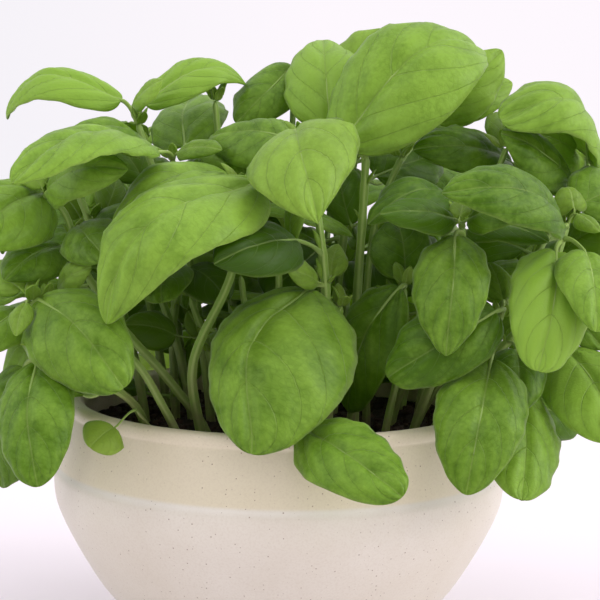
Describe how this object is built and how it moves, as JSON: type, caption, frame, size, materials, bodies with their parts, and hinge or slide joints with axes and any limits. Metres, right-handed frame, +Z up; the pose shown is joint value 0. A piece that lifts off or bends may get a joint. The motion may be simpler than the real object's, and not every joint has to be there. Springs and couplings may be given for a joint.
{
  "type": "potted basil plant",
  "caption": "Bush of sweet basil with broad, arching, glossy green leaves on square stems, in a round cream-glazed bowl filled with soil.",
  "frame": {"origin": "middle of the bowl's foot, on the surface it stands on", "axes": "+Z up, +Y away from the viewer of the picture, +X to the viewer's right"},
  "size_m": [0.326, 0.2714, 0.2749],
  "materials": {
    "pot_glaze": "cream glaze with fine brown speckles, glossy",
    "soil": "dark, damp, crumbly potting mix",
    "leaf": "fresh green leaves, satin above and paler below, on pale green square stems"
  },
  "bodies": {
    "root": {"pot": "pot_glaze", "soil": "soil", "leafy_stem_upper_left": "leaf", "leafy_stem_round_leaf": "leaf", "leafy_stem_left": "leaf", "leafy_stem_low_left": "leaf", "leafy_stem_over_rim_left": "leaf", "seedling_front_left": "leaf", "leafy_stem_centre_left": "leaf", "leafy_stem_tall_centre": "leaf", "leafy_stem_behind_centre": "leaf", "leafy_stem_second_centre": "leaf", "leafy_stem_front_centre": "leaf", "leafy_stem_dark_centre": "leaf", "leafy_stem_rosette": "leaf", "leafy_stem_right": "leaf", "leafy_stem_upper_right": "leaf", "leafy_stem_low_right": "leaf", "leafy_stem_edge_right": "leaf", "leafy_stem_back_1": "leaf", "leafy_stem_back_2": "leaf", "leafy_stem_back_3": "leaf", "leafy_stem_back_4": "leaf", "leafy_stem_back_5": "leaf", "leafy_stem_back_6": "leaf", "leafy_stem_back_7": "leaf", "leafy_stem_back_8": "leaf", "leafy_stem_middle_1": "leaf", "leafy_stem_middle_2": "leaf", "leafy_stem_middle_3": "leaf", "leafy_stem_short_1": "leaf", "leafy_stem_short_2": "leaf", "leafy_stem_short_3": "leaf", "leafy_stem_short_4": "leaf", "leafy_stem_short_5": "leaf", "leafy_stem_short_6": "leaf", "leafy_stem_short_7": "leaf"}
  },
  "joints": []
}
